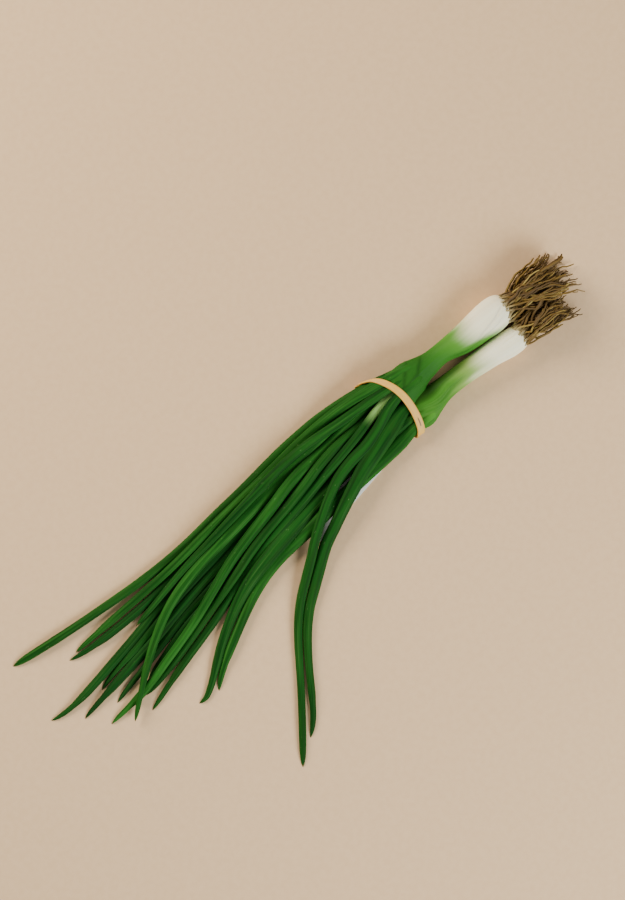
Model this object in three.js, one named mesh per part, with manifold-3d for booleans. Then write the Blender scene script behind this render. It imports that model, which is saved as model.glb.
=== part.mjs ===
// A bunch of two spring onions, tied with a rubber band and lying on a surface.
// Millimetres, +Z up, roots towards +X and leaf tips towards -X.
// Routes are measured from a point under the middle of the leaves, and the
// finished group is moved so that its origin is the bottom centre of its box.

import * as THREE from 'three';
import { mergeVertices } from 'three/addons/utils/BufferGeometryUtils.js';
import Module from 'manifold-3d';

const wasm = await Module();
wasm.setup();

// Driving dimensions
const leafSides = 8;
const leafRingStep = 13;
const leafRoundness = { neck: 0.85, band: 0.62, free: 0.8, freeFrom: 45, freeTo: 95 };
const leafWidestShare = 0.4;
const leafBaseWidth = 4;
const leafSwellLength = 26;
const leafTaper = { length: 24, power: 0.7 };
const leafStiffness = 0.5;
const layHeight = { first: 3, step: 1.6 };
const settleRounds = 420;
const settleFinishRounds = 160;
const settleDrop = 0.1;
const pushLimit = { closest: 0.2, furthest: 0.5 };
const routePull = { free: 0.1, tied: 0.3, tiedTo: 14, freeFrom: 34 };
const neckReach = 22;
const necks = { upper: { floor: 4.6, rowHeight: 4 }, lower: { floor: 1, rowHeight: 4 } };
const leafTipLength = 5;
const leafGap = 0.5;
const bulbSides = 16;
const bulbRingStep = 4;
const groundSize = 200;
const plateThickness = 2.2;
const plateGap = 0.9;
const plateRim = [[0, 1], [0.6, 0.9], [1, 0.5]];
const rootCount = 46;
const rootSides = 3;
const rootSteps = 6;
const rootSeed = 4;
const rootGroundGap = 0.3;
const rootDivide = { x: 163, y: -11.5, slope: -0.13, gap: 0.9 };
const rootBaseRadius = 0.72;
const rootTipRadius = 0.46;
const rootLength = { shortest: 22, longest: 47.5 };
const rootSplay = { sideways: 10.5, upward: 12.5, least: 0.55, more: 0.55 };
const rootBend = { upper: -0.25, lower: -0.13 };
const rootWave = { turns: 0.6, moreTurns: 0.9, sway: 1.2, moreSway: 2.6 };
const rootRing = 0.38;
const rootDepth = 0.35;
const rootDroop = 0.0045;
const bandWidth = 5;
const bandThickness = 1;
const bandGap = 0.6;
const bandReach = 6.5;
const bandSteps = 44;
const bandOutlineSteps = 132;
const bandLengthSteps = 528;
const bandEaseRounds = 5;
const bandHoldStep = 0.1;
const bandTurn = 0.02;
const band = { x: 68.8, y: -3, z: 8, lean: 1.2, skew: -0.25 };
const squeeze = { y: -3.6, z: 9.1, halfWidth: 22.2, halfHeight: 7.5, fullTo: 3, noneFrom: 14 };
const slip = { length: 58, width: 22, thickness: 0.6, endX: -16, edgeY: -36.2, turn: 0.145, margin: 4 };

// Each onion from its root plate to the end of its neck: x, y, z of the
// centre, then width and height.
const onions = {
  upper: [
    [165.2, -0.3, 10.3, 8.5, 8.5],
    [164.2, -0.4, 10.3, 11.5, 11.5],
    [162, -0.6, 10.3, 15.6, 15.6],
    [159, -0.8, 10.3, 18.8, 18.8],
    [155, -1, 10.3, 20.7, 20.6],
    [150, -1.1, 10.3, 21.3, 21.2],
    [142, -0.8, 10.2, 19.8, 20],
    [134, -0.7, 9.9, 18.4, 18],
    [127, -0.2, 9.7, 17, 16],
    [121, 0.8, 9.6, 15, 14],
    [115, 1.8, 9.6, 12.9, 12.4],
    [108, 2.7, 9.8, 11.4, 11],
    [102, 3.3, 10, 11.2, 10.8],
    [97.5, 3.7, 10.2, 13, 11],
    [94, 3.8, 10.3, 14.6, 11.6],
  ],
  lower: [
    [161, -21.8, 8.1, 7.5, 7.5],
    [160, -21.7, 8.1, 10, 10],
    [157.6, -21.5, 8.1, 13.6, 13.6],
    [153.5, -21, 8.1, 16.2, 16.2],
    [148, -20.3, 8.1, 16.8, 16.8],
    [142, -19.2, 8, 16, 16.2],
    [136, -18.2, 7.9, 15.2, 15.2],
    [129, -17.5, 7.7, 14.6, 14.4],
    [120, -16.5, 7.4, 14, 13.8],
    [108, -15.6, 6.8, 13.8, 12.6],
    [100, -15.2, 6.2, 14.2, 11.4],
    [95, -15, 5.7, 15.6, 10.2],
    [91.5, -15.4, 5.3, 18, 9.4],
    [88.4, -15.6, 5, 19.4, 8.8],
  ],
};

// Leaves in the order they lie, lowest first. The widths are at the band, in
// the middle and near the tip, and the route is x, y from the neck to the tip.
const leaves = [
  { name: 'leaf_01_left_lower', neck: 'upper', row: 0, widths: [5.4, 5.4, 4.6],
    route: [[92.4, 8.5], [86, 9.3], [78, 11.5], [66, 13.2], [45, 13.3], [0, 12.5], [-50, 11.5], [-80, 8],
      [-107, 4.8], [-131, 4.4], [-162, 6.1], [-176, 8.9]] },
  { name: 'leaf_02_longest', neck: 'lower', row: 0, widths: [5.4, 5.4, 4.6],
    route: [[85.4, -8.5], [82, -7.6], [74, -1.8], [62, 5], [45, 7.5], [0, 6.7], [-50, 6], [-80, 2],
      [-117, -4.4], [-133, -7.2], [-169, -11.4], [-187, -13.5], [-202, -12.9], [-208, -11.2]] },
  { name: 'leaf_03_hidden_base', neck: 'lower', row: 0, widths: [5, 5.2, 4.6],
    route: [[85.4, -13.2], [82, -12.3], [74, -7.2], [62, -0.6], [45, 1.7], [0, 0], [-50, -4.8], [-80, -9.5],
      [-100, -11], [-141, -16.3], [-169, -20.3], [-186, -22.4], [-192, -23.6]] },
  { name: 'leaf_04_hidden_base', neck: 'lower', row: 0, widths: [4.4, 4.4, 3.6],
    route: [[85.4, -17.9], [82, -17], [74, -12.4], [62, -6], [45, -3.8], [0, -6.5], [-50, -10.1],
      [-99, -12.9], [-115, -15], [-132, -20.7], [-156, -25.4], [-171, -29]] },
  { name: 'leaf_05_hidden_base', neck: 'lower', row: 0, widths: [4.4, 4.4, 3.6],
    route: [[85.4, -22.6], [82, -21.7], [74, -17.2], [62, -11], [45, -8.9], [0, -12], [-50, -15],
      [-103, -17.9], [-127, -25.1], [-147, -30.3]] },
  { name: 'leaf_06_crossing_under', neck: 'lower', row: 1, widths: [4.8, 4.8, 4],
    route: [[85.4, -13.2], [82, -12.8], [74, -10.8], [62, -8.5], [45, -6.2], [24, -3.6], [0, -1.5],
      [-24, -0.4], [-48, 0.1], [-83, -4.6], [-110, -9.4], [-146, -12.8], [-161, -13.9], [-173, -17.3]] },
  { name: 'leaf_07_bright_middle', neck: 'upper', row: 0, widths: [4.6, 6, 5],
    route: [[92.4, 3.8], [86, 4.4], [78, 6], [66, 6.4], [52, 6], [40, 5.8], [28, 5], [13, 4.3], [3, 3.6],
      [-16, -0.3], [-44, -5.4], [-64, -9.6], [-86, -17.1], [-109, -24.7], [-130, -29.8], [-151, -35.2],
      [-166, -35.5], [-182, -36.6]] },
  { name: 'leaf_08_beside_middle', neck: 'upper', row: 0, widths: [4.8, 5.4, 4.2],
    route: [[92.4, -0.9], [86, -0.4], [78, 0.8], [66, 2], [51, 2.8], [37, 2.4], [22, 0.2], [0, -4.3],
      [-20, -9.8], [-50, -14.2], [-85, -21.7], [-112, -28.3], [-141, -34.1], [-155, -36.4]] },
  { name: 'leaf_09_pale_base', neck: 'upper', row: 1, widths: [4.4, 4.8, 4],
    route: [[92.4, -0.9], [87, 0.3], [80, 3.6], [74, 4.4], [62, 0.4], [47, -2], [24, -5.2], [6, -8],
      [-19, -12.8], [-52, -18.5], [-89, -29], [-130, -38.5], [-158, -46.4]] },
  { name: 'leaf_10_curled_tip', neck: 'lower', row: 1, widths: [5.4, 6, 4.6],
    route: [[85.4, -17.9], [82, -17.6], [74, -16.2], [62, -14.6], [45, -13.2], [24, -13], [4, -13.4],
      [-7, -15.2], [-27, -17], [-41, -17.8], [-59, -22], [-71, -27.1], [-90, -37.3], [-111, -50.7],
      [-119, -57.7], [-126, -61.2], [-134, -61.7]] },
  { name: 'leaf_11_broad_right', neck: 'lower', row: 1, widths: [8.2, 8.2, 5],
    route: [[85.4, -22.6], [80, -22.4], [72, -21.4], [59, -21.9], [45, -23.6], [35, -23.8], [18, -25.1],
      [1, -25.9], [-15, -26.4], [-30, -25.1], [-46, -26.6], [-67, -33.7], [-88, -44.1], [-111, -55.9],
      [-120, -63.7]] },
  { name: 'leaf_12_outer_left', neck: 'upper', row: 1, widths: [5.7, 5.7, 5],
    route: [[92.4, 8.5], [86, 10], [78, 14], [66, 17.4], [57, 19.4], [45, 21.4], [27, 21.4], [10, 20.7],
      [-7, 19.5], [-26, 16.3], [-43, 14.9], [-76, 13.4], [-106, 15.6], [-142, 19.6], [-171, 23.3],
      [-204, 28.6]] },
  { name: 'leaf_13_hooked_over', neck: 'upper', row: 1, widths: [5, 5.4, 3.6],
    route: [[92.4, 3.8], [86, 5], [78, 9], [66, 11.2], [45, 11], [20, 10.2], [-5, 8.6], [-25, 6], [-60, 3.4],
      [-77, 2], [-97, -1.7], [-112, -6.4], [-134, -18.5], [-154, -32.7], [-164, -40.4], [-170, -44.7]] },
  { name: 'leaf_14_second_left', neck: 'upper', row: 2, widths: [5.4, 5.4, 4.6],
    route: [[92.4, 8.5], [86, 9.1], [78, 10.6], [70, 12], [60, 14], [46, 16.2], [24, 17.2], [7, 16.2],
      [-20, 13], [-50, 10.8], [-79, 9.8], [-103, 9.8], [-134, 10.4], [-170, 10.2]] },
  { name: 'leaf_15_kinked', neck: 'upper', row: 2, widths: [5.4, 5.4, 3.6],
    route: [[92.4, 3.8], [86, 4.2], [78, 6.2], [68, 7.4], [55, 8.5], [37, 10.3], [23, 13], [14, 14.2],
      [5, 14.4], [-12, 13.8], [-37, 11.8], [-55, 9.4], [-72, 8.4], [-90, 6.5], [-110, 1.6], [-132, -1.6]] },
  { name: 'leaf_16_right_pair', neck: 'lower', row: 1, widths: [8.4, 5.8, 4.4],
    route: [[85.4, -8.5], [82, -8.3], [76, -8.4], [67, -11], [53, -14.5], [39, -17.7], [28, -20.8],
      [19, -24.6], [10, -28.4], [-1, -32], [-12, -37.4], [-33, -50.8], [-52, -66.2], [-67, -84.5],
      [-81, -104.6], [-88, -114.2], [-97, -121.2]] },
  { name: 'leaf_17_left_pair', neck: 'upper', row: 2, widths: [6.4, 5, 4.2],
    route: [[92.4, -0.9], [86, 0.5], [78, 0.8], [69, -1.1], [61, -5.1], [46, -8.8], [31, -11.2], [16, -13.9],
      [8, -18.4], [-4, -24.5], [-15, -30.8], [-40, -48.7], [-56, -62.6], [-71, -81.1], [-86, -100.4],
      [-107, -125.8], [-112, -131.6]] },
];

const finishes = {
  bulb: new THREE.MeshStandardMaterial({ color: 0xe6ecc8, roughness: 0.4, metalness: 0 }),
  leaf: new THREE.MeshStandardMaterial({ color: 0x2f7d2a, roughness: 0.45, metalness: 0 }),
  root: new THREE.MeshStandardMaterial({ color: 0x8a6a35, roughness: 0.85, metalness: 0 }),
  band: new THREE.MeshStandardMaterial({ color: 0xdcb888, roughness: 0.7, metalness: 0 }),
  slip: new THREE.MeshStandardMaterial({ color: 0xe4dfd0, roughness: 0.8, metalness: 0 }),
};

// A closed tube through the points, each ring an ellipse drawn with straight
// sides. The base end is flat. A tip closes on its last point.
function tube(points, widths, heights, sides, closesOnTip) {
  const rings = closesOnTip ? points.length - 1 : points.length;
  const up = new THREE.Vector3(0, 0, 1);
  const vertices = [];
  for (let ring = 0; ring < rings; ring += 1) {
    const before = points[Math.max(ring - 1, 0)];
    const after = points[Math.min(ring + 1, points.length - 1)];
    const along = after.clone().sub(before).normalize();
    const side = along.clone().cross(up).normalize();
    const top = side.clone().cross(along);
    for (let corner = 0; corner < sides; corner += 1) {
      const angle = ((corner + 0.5) / sides) * 2 * Math.PI - Math.PI / 2;
      const vertex = points[ring].clone();
      vertex.addScaledVector(side, (widths[ring] / 2) * Math.cos(angle));
      vertex.addScaledVector(top, (heights[ring] / 2) * Math.sin(angle));
      vertices.push(vertex);
    }
  }
  const base = vertices.push(points[0]) - 1;
  const tip = vertices.push(points[points.length - 1]) - 1;
  const faces = [];
  for (let corner = 0; corner < sides; corner += 1) {
    const next = (corner + 1) % sides;
    for (let ring = 0; ring + 1 < rings; ring += 1) {
      const near = ring * sides;
      const far = near + sides;
      faces.push(near + corner, far + next, near + next);
      faces.push(near + corner, far + corner, far + next);
    }
    const last = (rings - 1) * sides;
    faces.push(base, corner, next);
    faces.push(tip, last + next, last + corner);
  }
  const geometry = new THREE.BufferGeometry().setFromPoints(vertices);
  geometry.setIndex(faces);
  return geometry;
}

function solid(geometry) {
  const plain = geometry.clone();
  plain.deleteAttribute('normal');
  plain.deleteAttribute('uv');
  const merged = mergeVertices(plain);
  return new wasm.Manifold(new wasm.Mesh({
    numProp: 3,
    vertProperties: new Float32Array(merged.attributes.position.array),
    triVerts: new Uint32Array(merged.index.array),
  }));
}

function geometryOf(body) {
  const mesh = body.getMesh();
  const geometry = new THREE.BufferGeometry();
  geometry.setAttribute('position', new THREE.BufferAttribute(mesh.vertProperties, 3));
  geometry.setIndex(new THREE.BufferAttribute(mesh.triVerts, 1));
  return geometry;
}

// A repeatable stream of numbers from 0 to 1
function randomStream(seed) {
  let state = seed;
  return () => {
    state = (state * 1664525 + 1013904223) % 4294967296;
    return state / 4294967296;
  };
}

// The bulb and its neck are one grown piece. It stands on a small flat spot.
function bulbGeometry(stations) {
  const centres = stations.map(([x, y, z]) => new THREE.Vector3(x, y, z));
  const sections = stations.map(([x, , , width, height]) => new THREE.Vector3(x, width, height));
  const axis = new THREE.CatmullRomCurve3(centres, false, 'chordal');
  const size = new THREE.CatmullRomCurve3(sections, false, 'chordal');
  const points = [];
  const widths = [];
  const heights = [];
  for (let index = 0; index + 1 < stations.length; index += 1) {
    const span = Math.abs(stations[index + 1][0] - stations[index][0]);
    const steps = Math.max(1, Math.round(span / bulbRingStep));
    for (let step = 0; step < steps; step += 1) {
      const along = (index + step / steps) / (stations.length - 1);
      points.push(axis.getPoint(along));
      widths.push(size.getPoint(along).y);
      heights.push(size.getPoint(along).z);
    }
  }
  points.push(axis.getPoint(1));
  widths.push(stations.at(-1)[3]);
  heights.push(stations.at(-1)[4]);
  const ground = new THREE.BoxGeometry(groundSize, groundSize, groundSize);
  ground.translate(stations[0][0], stations[0][1], -groundSize / 2);
  return geometryOf(solid(tube(points, widths, heights, bulbSides, false)).subtract(solid(ground)));
}

// How high the underside of a leaf must be over the surface, the rubber band
// and the slip.
function floorAt(x, y, neckBottom, neckX) {
  const nearNeck = THREE.MathUtils.smoothstep(x, neckX - neckReach, neckX);
  const bandLow = band.x - band.lean * band.z;
  const nearBand = 1 - THREE.MathUtils.smoothstep(Math.abs(x - bandLow), bandWidth, bandWidth * 3);
  let height = Math.max(neckBottom * nearNeck, (bandThickness + bandGap) * nearBand);
  const across = y - (slip.edgeY + slip.turn * (x - slip.endX));
  const along = x - slip.endX;
  const overWidth = across > -slip.margin && across < slip.width + slip.margin;
  if (overWidth && along > -slip.margin && along < slip.length + slip.margin) {
    height = Math.max(height, slip.thickness + leafGap);
  }
  return height;
}

// A leaf as it starts: rings along its route, held high enough to lie over
// all the leaves before it.
function startLeaf(leaf, order) {
  const route = leaf.route.map(([x, y]) => new THREE.Vector3(x, y, 0));
  const path = new THREE.CatmullRomCurve3(route, false, 'centripetal');
  const length = path.getLength();
  const ringCount = Math.round(length / leafRingStep);
  const points = path.getSpacedPoints(ringCount);
  const runs = points.map((point, ring) => (ring * length) / ringCount);
  points.splice(ringCount, 0, path.getPointAt(1 - leafTipLength / length));
  runs.splice(ringCount, 0, length - leafTipLength);
  const [bandSize, middleSize, tipSize] = leaf.widths;
  const widths = runs.map((run) => {
    const swell = THREE.MathUtils.smoothstep(run, 0, leafSwellLength);
    const grow = THREE.MathUtils.smoothstep(run, leafSwellLength, length * leafWidestShare);
    const taper = THREE.MathUtils.smoothstep(run, length * leafWidestShare, length);
    const full = THREE.MathUtils.lerp(THREE.MathUtils.lerp(bandSize, middleSize, grow), tipSize, taper);
    const pointed = Math.min(1, ((length - run) / leafTaper.length) ** leafTaper.power);
    return THREE.MathUtils.lerp(Math.min(leafBaseWidth, full), full, swell) * pointed;
  });
  const heights = widths.map((width, ring) => {
    const flatten = THREE.MathUtils.smoothstep(runs[ring], 0, leafSwellLength);
    const release = THREE.MathUtils.smoothstep(runs[ring], leafRoundness.freeFrom, leafRoundness.freeTo);
    const tied = THREE.MathUtils.lerp(leafRoundness.neck, leafRoundness.band, flatten);
    return width * THREE.MathUtils.lerp(tied, leafRoundness.free, release);
  });
  const neck = necks[leaf.neck];
  const pinned = neck.floor + neck.rowHeight * (leaf.row + 0.5);
  const points3d = points.map((point, ring) => {
    const spread = THREE.MathUtils.smoothstep(runs[ring], 0, leafSwellLength);
    const height = THREE.MathUtils.lerp(pinned, layHeight.first + layHeight.step * order, spread);
    return new THREE.Vector3(point.x, point.y, height);
  });
  const neckX = leaf.route[0][0];
  return { name: leaf.name, points: points3d, home: points, widths, heights, neckX, floor: neck.floor };
}

// Push one leaf's rings off another leaf, sideways and up or down, sharing the
// move between the two.
function pushApart(leaf, other) {
  for (let ring = 1; ring < leaf.points.length; ring += 1) {
    for (const back of [0, 0.5]) {
      const from = leaf.points[ring];
      const rear = leaf.points[ring - 1];
      const x = THREE.MathUtils.lerp(from.x, rear.x, back);
      const y = THREE.MathUtils.lerp(from.y, rear.y, back);
      for (let near = 0; near + 1 < other.points.length; near += 1) {
        const start = other.points[near];
        const end = other.points[near + 1];
        if (Math.abs(x - start.x) > leafRingStep * 2 || Math.abs(y - start.y) > leafRingStep * 2) {
          continue;
        }
        const spanX = end.x - start.x;
        const spanY = end.y - start.y;
        const along = ((x - start.x) * spanX + (y - start.y) * spanY) / (spanX * spanX + spanY * spanY);
        const share = THREE.MathUtils.clamp(along, 0, 1);
        const offX = x - start.x - share * spanX;
        const offY = y - start.y - share * spanY;
        const apart = Math.hypot(offX, offY);
        const reach = (THREE.MathUtils.lerp(leaf.widths[ring], leaf.widths[ring - 1], back)
          + THREE.MathUtils.lerp(other.widths[near], other.widths[near + 1], share)) / 2 + leafGap;
        if (apart >= reach) {
          continue;
        }
        const rise = (THREE.MathUtils.lerp(leaf.heights[ring], leaf.heights[ring - 1], back)
          + THREE.MathUtils.lerp(other.heights[near], other.heights[near + 1], share)) / 2 + leafGap;
        const z = THREE.MathUtils.lerp(from.z, rear.z, back);
        const up = z - THREE.MathUtils.lerp(start.z, end.z, share);
        const closeness = Math.hypot(apart / reach, up / rise);
        if (closeness >= 1) {
          continue;
        }
        const missing = 1 / Math.max(closeness, pushLimit.closest) - 1;
        const stretch = Math.min(missing, pushLimit.furthest) / 2;
        const move = new THREE.Vector3(offX * stretch, offY * stretch, up * stretch);
        from.addScaledVector(move, 1 - back / 2);
        if (ring > 1) {
          rear.addScaledVector(move, back);
        }
        if (near > 0) {
          start.addScaledVector(move, share - 1);
        }
        end.addScaledVector(move, -share);
      }
    }
  }
}

// Nothing sinks into what it lies on, and the band holds the bundle together
function keepInside(leaf) {
  const lowestCorner = Math.cos(Math.PI / leafSides);
  leaf.points.forEach((point, ring) => {
    if (ring > 0) {
      const fromBand = Math.abs(point.x - bandX(point.y, point.z));
      const loose = THREE.MathUtils.smoothstep(fromBand, squeeze.fullTo, squeeze.noneFrom);
      const sideways = (point.y - squeeze.y) / (squeeze.halfWidth - leaf.widths[ring] / 2);
      const upward = (point.z - squeeze.z) / (squeeze.halfHeight - leaf.heights[ring] / 2);
      const kept = Math.min(1, 1 / ((1 - loose) * Math.hypot(sideways, upward)));
      point.y = squeeze.y + (point.y - squeeze.y) * kept;
      point.z = squeeze.z + (point.z - squeeze.z) * kept;
      const lowest = floorAt(point.x, point.y, leaf.floor, leaf.neckX);
      point.z = Math.max(point.z, lowest + (leaf.heights[ring] / 2) * lowestCorner);
    }
  });
}

// The leaves settle together under their own weight. Each bends stiffly and
// keeps close to its route.
function settle(set) {
  for (let round = 0; round < settleRounds + settleFinishRounds; round += 1) {
    const finishing = round >= settleRounds;
    if (!finishing) {
      for (const leaf of set) {
        const drift = leaf.points.map((point, ring) => point.clone().sub(leaf.home[ring]));
        for (let ring = 1; ring < leaf.points.length; ring += 1) {
          const ahead = drift[Math.min(ring + 1, drift.length - 1)];
          const middle = drift[ring - 1].clone().add(ahead).multiplyScalar(0.5);
          const moved = drift[ring].clone().lerp(middle, leafStiffness);
          const fromBand = Math.abs(leaf.home[ring].x - band.x);
          const tied = 1 - THREE.MathUtils.smoothstep(fromBand, routePull.tiedTo, routePull.freeFrom);
          const kept = 1 - THREE.MathUtils.lerp(routePull.free, routePull.tied, tied);
          moved.multiply(new THREE.Vector3(kept, kept, 1));
          leaf.points[ring].copy(leaf.home[ring]).add(moved);
          leaf.points[ring].z -= settleDrop;
        }
      }
    }
    for (let first = 0; first < set.length; first += 1) {
      for (let second = 0; second < set.length; second += 1) {
        if (first !== second) {
          pushApart(set[first], set[second]);
        }
      }
    }
    set.forEach(keepInside);
  }
}

// Where the band crosses the bundle at a given height and side
function bandX(y, z) {
  return band.x + band.lean * (z - band.z) + band.skew * (y - band.y);
}

// A flat loop of rubber stretched round all the leaves. It leans,
// so its top is nearer the roots than its underside.
function bandGeometry(set) {
  const held = [];
  for (const leaf of set) {
    for (let ring = 0; ring + 1 < leaf.points.length; ring += 1) {
      for (let share = 0; share < 1; share += bandHoldStep) {
        const centre = leaf.points[ring].clone().lerp(leaf.points[ring + 1], share);
        if (Math.abs(centre.x - bandX(centre.y, centre.z)) < bandReach) {
          const halfWidth = leaf.widths[ring] / 2;
          held.push({ y: centre.y, z: centre.z, halfWidth, halfHeight: leaf.heights[ring] / 2 });
        }
      }
    }
  }
  const reach = (angle) => Math.max(...held.map((section) => section.y * Math.cos(angle)
    + section.z * Math.sin(angle)
    + Math.hypot(section.halfWidth * Math.cos(angle), section.halfHeight * Math.sin(angle))));
  const outline = [];
  for (let step = 0; step < bandOutlineSteps; step += 1) {
    const angle = (step / bandOutlineSteps) * 2 * Math.PI;
    const offset = reach(angle) + bandGap + bandThickness / 2;
    const slope = (reach(angle + bandTurn) - reach(angle - bandTurn)) / (2 * bandTurn);
    const y = Math.cos(angle) * offset - Math.sin(angle) * slope;
    const z = Math.max(Math.sin(angle) * offset + Math.cos(angle) * slope, bandThickness / 2);
    outline.push(new THREE.Vector3(bandX(y, z), y, z));
  }
  const loop = new THREE.CatmullRomCurve3(outline, true);
  loop.arcLengthDivisions = bandLengthSteps;
  const path = loop.getSpacedPoints(bandSteps).slice(1);
  for (let round = 0; round < bandEaseRounds; round += 1) {
    const eased = path.map((point, step) => {
      const ahead = path[(step + 1) % bandSteps];
      const behind = path[(step + bandSteps - 1) % bandSteps];
      return (ahead.x + behind.x) / 4 + point.x / 2;
    });
    path.forEach((point, step) => point.setX(eased[step]));
  }
  const vertices = [];
  path.forEach((point, step) => {
    const ahead = path[(step + 1) % bandSteps];
    const behind = path[(step + bandSteps - 1) % bandSteps];
    const along = ahead.clone().sub(behind).normalize();
    const out = new THREE.Vector3(0, along.z, -along.y).normalize();
    const across = out.clone().cross(along).normalize();
    const section = [[1, 1], [-1, 1], [-1, -1], [1, -1]].map(([side, layer]) => point.clone()
      .addScaledVector(across, (side * bandWidth) / 2)
      .addScaledVector(out, (layer * bandThickness) / 2));
    const sunk = Math.min(0, ...section.map((vertex) => vertex.z));
    section.forEach((vertex) => vertices.push(vertex.setZ(vertex.z - sunk)));
  });
  const faces = [];
  for (let step = 0; step < bandSteps; step += 1) {
    const near = step * 4;
    const far = ((step + 1) % bandSteps) * 4;
    for (let corner = 0; corner < 4; corner += 1) {
      const next = (corner + 1) % 4;
      faces.push(near + corner, far + next, far + corner);
      faces.push(near + corner, near + next, far + next);
    }
  }
  const geometry = new THREE.BufferGeometry().setFromPoints(vertices);
  geometry.setIndex(faces);
  return geometry;
}

// One wiry root, wandering out of the plate and drooping to the surface
function rootStrand(start, splay, around, bend, length, random, keepSide) {
  const phase = random() * 2 * Math.PI;
  const waves = rootWave.turns + random() * rootWave.moreTurns;
  const sway = rootWave.sway + random() * rootWave.moreSway;
  const swayAngle = random() * 2 * Math.PI;
  const points = [];
  const sizes = [];
  for (let step = 0; step <= rootSteps; step += 1) {
    const share = step / rootSteps;
    const run = share * length;
    const out = splay * (1 - (1 - share) ** 3);
    const wave = sway * share * (Math.sin(phase + waves * share * 2 * Math.PI) - Math.sin(phase));
    const radius = THREE.MathUtils.lerp(rootBaseRadius, rootTipRadius, share);
    const y = start.y + out * rootSplay.sideways * Math.cos(around) + run * bend + wave * Math.cos(swayAngle);
    const z = start.z + out * rootSplay.upward * Math.sin(around) + wave * Math.sin(swayAngle)
      - rootDroop * run * run;
    const x = start.x + run;
    points.push(new THREE.Vector3(x, keepSide(x, y), Math.max(z, radius + rootGroundGap)));
    sizes.push(2 * radius);
  }
  return tube(points, sizes, sizes, rootSides, true);
}

// All the roots of one onion, grown from a small plate at the end of the bulb
function rootTuft(stations, seed, bend, keepSide) {
  const random = randomStream(seed);
  const [endX, endY, endZ, plateSize] = stations[0];
  const plateX = endX + plateGap;
  const rim = plateRim.map(([depth]) => new THREE.Vector3(plateX + plateThickness * depth, endY, endZ));
  const plateSizes = plateRim.map(([, share]) => plateSize * share);
  const parts = [solid(tube(rim, plateSizes, plateSizes, bulbSides, false))];
  const goldenAngle = Math.PI * (3 - Math.sqrt(5));
  for (let index = 0; index < rootCount; index += 1) {
    const outward = Math.sqrt((index + 0.5) / rootCount);
    const around = index * goldenAngle;
    const radius = outward * plateSize * rootRing;
    const start = new THREE.Vector3(
      plateX + plateThickness * rootDepth,
      endY + radius * Math.cos(around),
      endZ + radius * Math.sin(around),
    );
    const splay = outward * (rootSplay.least + rootSplay.more * random());
    const length = THREE.MathUtils.lerp(rootLength.shortest, rootLength.longest, random());
    parts.push(solid(rootStrand(start, splay, around, bend, length, random, keepSide)));
  }
  const joined = wasm.Manifold.union(parts);
  const bodies = joined.decompose();
  bodies.sort((first, second) => second.volume() - first.volume());
  return geometryOf(bodies[0]);
}

// The slip lies flat on the surface under the leaves
function slipGeometry() {
  const geometry = new THREE.BoxGeometry(slip.length, slip.width, slip.thickness);
  geometry.translate(slip.length / 2, slip.width / 2, slip.thickness / 2);
  geometry.rotateZ(Math.atan(slip.turn));
  geometry.translate(slip.endX, slip.edgeY, 0);
  return geometry;
}

const bunch = new THREE.Group();

function addPiece(name, geometry, finish) {
  const mesh = new THREE.Mesh(geometry, finish);
  mesh.name = name;
  bunch.add(mesh);
}

// The two tufts meet along a slanting upright plane and neither crosses it
const divideY = (x) => rootDivide.y + rootDivide.slope * (x - rootDivide.x);
const keepSides = {
  upper: (x, y) => divideY(x) + rootDivide.gap + Math.abs(y - divideY(x) - rootDivide.gap),
  lower: (x, y) => divideY(x) - rootDivide.gap - Math.abs(y - divideY(x) + rootDivide.gap),
};
for (const [index, [name, stations]] of Object.entries(onions).entries()) {
  const tuft = rootTuft(stations, rootSeed + index, rootBend[name], keepSides[name]);
  addPiece(`${name}_onion_bulb`, bulbGeometry(stations), finishes.bulb);
  addPiece(`${name}_onion_roots`, tuft, finishes.root);
}

const settled = leaves.map(startLeaf);
settle(settled);
for (const leaf of settled) {
  addPiece(leaf.name, tube(leaf.points, leaf.widths, leaf.heights, leafSides, true), finishes.leaf);
}
addPiece('rubber_band', bandGeometry(settled), finishes.band);
addPiece('blank_slip', slipGeometry(), finishes.slip);

const box = new THREE.Box3().setFromObject(bunch);
const middle = box.getCenter(new THREE.Vector3());
bunch.position.set(-middle.x, -middle.y, 0);

export default bunch;
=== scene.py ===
import math

import bmesh
import bpy
import numpy as np
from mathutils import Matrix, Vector, noise


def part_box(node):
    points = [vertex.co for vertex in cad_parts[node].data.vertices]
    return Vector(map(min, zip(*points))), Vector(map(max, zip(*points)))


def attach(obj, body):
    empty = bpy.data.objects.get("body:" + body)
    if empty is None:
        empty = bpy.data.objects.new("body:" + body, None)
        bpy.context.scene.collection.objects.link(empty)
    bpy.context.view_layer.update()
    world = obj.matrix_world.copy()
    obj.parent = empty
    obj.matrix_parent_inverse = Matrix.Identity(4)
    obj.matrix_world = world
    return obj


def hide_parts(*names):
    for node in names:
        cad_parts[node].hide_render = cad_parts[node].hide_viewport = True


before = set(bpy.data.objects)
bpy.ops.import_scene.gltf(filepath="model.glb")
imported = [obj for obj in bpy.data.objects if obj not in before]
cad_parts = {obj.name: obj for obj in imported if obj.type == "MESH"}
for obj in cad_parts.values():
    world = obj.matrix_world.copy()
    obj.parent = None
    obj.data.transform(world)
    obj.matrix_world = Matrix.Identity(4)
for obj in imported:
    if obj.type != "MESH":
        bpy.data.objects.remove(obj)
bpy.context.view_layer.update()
mm = 0.001

# The leaves are hollow green tubes that grow out of the two necks. The band
# flattens them, they round out further on, and each ends in a dry brown point.
# They are grown whole, so nothing fixes them but the neck and the band.

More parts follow.
